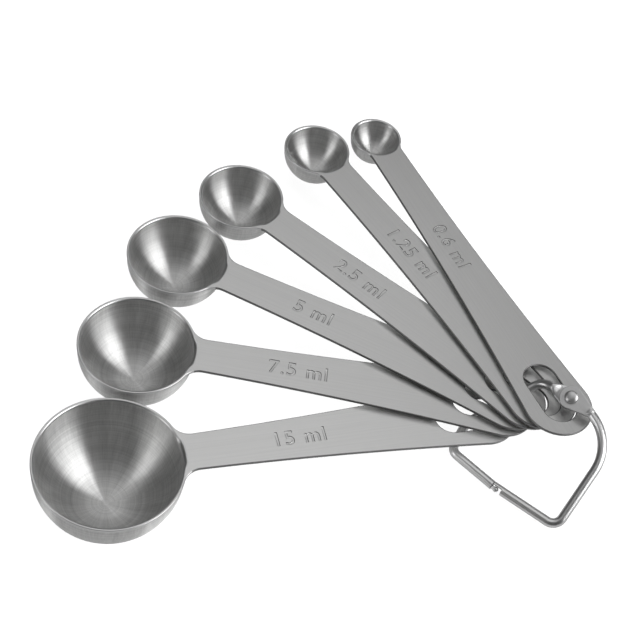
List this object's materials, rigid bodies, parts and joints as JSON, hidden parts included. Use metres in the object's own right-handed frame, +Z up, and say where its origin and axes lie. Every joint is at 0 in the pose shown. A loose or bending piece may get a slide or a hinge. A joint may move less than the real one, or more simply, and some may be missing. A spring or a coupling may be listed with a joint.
{
  "type": "measuring spoon set",
  "caption": "Measuring spoons stamped from steel sheet, fanned out on a hinged wire ring that runs through a slot in each flat handle.",
  "frame": {"origin": "on the table, below the middle of the box around the whole fan", "axes": "+Z up from the table, +X from the largest bowl towards the ring, +Y towards the smallest spoons"},
  "size_m": [0.1472, 0.142, 0.0246],
  "materials": {
    "spoon_steel": "satin brushed handles, bowls brushed in circles, polished rims",
    "ring_wire": "bright drawn wire",
    "rivet_steel": "bright domed heads"
  },
  "bodies": {
    "ring": {"ring_body": "ring_wire", "hinge_rivet": "rivet_steel"},
    "gate": {"ring_gate": "ring_wire"},
    "tablespoon": {"tablespoon": "spoon_steel"},
    "half_tablespoon": {"half_tablespoon": "spoon_steel"},
    "teaspoon": {"teaspoon": "spoon_steel"},
    "half_teaspoon": {"half_teaspoon": "spoon_steel"},
    "quarter_teaspoon": {"quarter_teaspoon": "spoon_steel"},
    "eighth_teaspoon": {"eighth_teaspoon": "spoon_steel"}
  },
  "joints": [
    {"name": "ring_gate_hinge", "type": "hinge", "parent": "ring", "child": "gate", "pos_m": [0.06532, -0.02792, 0.01132], "axis": [-0.2052, -0.253, 0.9455], "range_deg": [0, 40]},
    {"name": "teaspoon_swing", "type": "hinge", "parent": "ring", "child": "teaspoon", "pos_m": [0.05086, -0.02527, 0.00532], "axis": [0.1565, 0.0788, 0.9845], "range_deg": [-8, 8]},
    {"name": "half_tablespoon_fan", "type": "hinge", "parent": "teaspoon", "child": "half_tablespoon", "pos_m": [0.04809, -0.02633, 0.0042], "axis": [0.1565, 0.0788, 0.9845], "range_deg": [0, 12]},
    {"name": "tablespoon_fan", "type": "hinge", "parent": "half_tablespoon", "child": "tablespoon", "pos_m": [0.04298, -0.02809, 0.00351], "axis": [0.1565, 0.0788, 0.9845], "range_deg": [0, 12]},
    {"name": "half_teaspoon_fan", "type": "hinge", "parent": "teaspoon", "child": "half_teaspoon", "pos_m": [0.0479, -0.01994, 0.00701], "axis": [0.1565, 0.0788, 0.9845], "range_deg": [-12, 0]},
    {"name": "quarter_teaspoon_fan", "type": "hinge", "parent": "half_teaspoon", "child": "quarter_teaspoon", "pos_m": [0.05293, -0.01903, 0.00778], "axis": [0.1565, 0.0788, 0.9845], "range_deg": [-12, 0]},
    {"name": "eighth_teaspoon_fan", "type": "hinge", "parent": "quarter_teaspoon", "child": "eighth_teaspoon", "pos_m": [0.05804, -0.02072, 0.00875], "axis": [0.1565, 0.0788, 0.9845], "range_deg": [-12, 0]}
  ]
}
